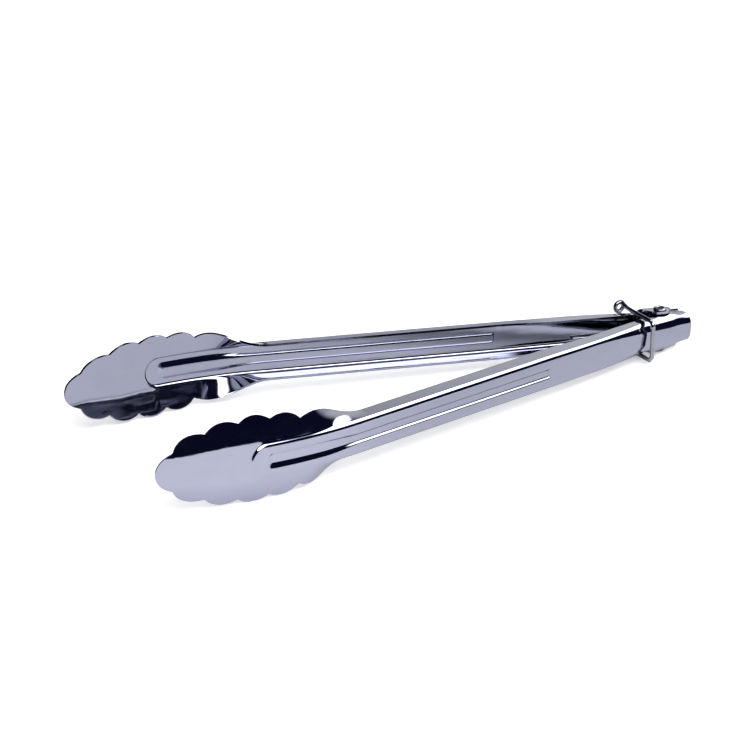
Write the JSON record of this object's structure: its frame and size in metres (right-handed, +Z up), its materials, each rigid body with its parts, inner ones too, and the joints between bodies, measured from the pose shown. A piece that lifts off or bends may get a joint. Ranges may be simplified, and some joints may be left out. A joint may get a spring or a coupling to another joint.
{
  "type": "spring loaded kitchen tongs",
  "caption": "Sprung stainless steel kitchen tongs with channel arms, scalloped grip heads and a sliding wire lock ring with a hanging eye.",
  "frame": {"origin": "middle of the underside of the box round the open tongs, which lie on their side edges", "axes": "+X towards the hinge end, the heads point along -X; +Z up, along the rivet; +Y towards the right arm"},
  "size_m": [0.295, 0.1034, 0.038],
  "materials": {
    "arm_steel": "polished",
    "rivet_steel": "polished",
    "spring_steel": "satin",
    "ring_steel": "polished"
  },
  "bodies": {
    "hinge": {"hinge_rivet": "rivet_steel", "torsion_spring": "spring_steel"},
    "right": {"right_arm": "arm_steel"},
    "left": {"left_arm": "arm_steel"},
    "ring": {"lock_ring": "ring_steel"}
  },
  "joints": [
    {"name": "right_hinge", "type": "hinge", "parent": "hinge", "child": "right", "pos_m": [0.13254, 0, 0.019], "axis": [0, 0, 1], "range_deg": [0, 8.9], "stiffness_Nm_per_rad": 0.6, "springref_deg": -28.65, "deforming": ["torsion_spring"]},
    {"name": "left_hinge", "type": "hinge", "parent": "hinge", "child": "left", "pos_m": [0.13254, 0, 0.019], "axis": [0, 0, 1], "range_deg": [-8.9, 0]},
    {"name": "ring_slide", "type": "slide", "parent": "hinge", "child": "ring", "axis": [-1, 0, 0], "range_m": [0, 0.034]}
  ],
  "couplings": [
    {"joint": "left_hinge", "follows": "right_hinge", "ratio": -1},
    {"joint": "ring_slide", "follows": "right_hinge", "m_per_rad": 0.2188}
  ]
}
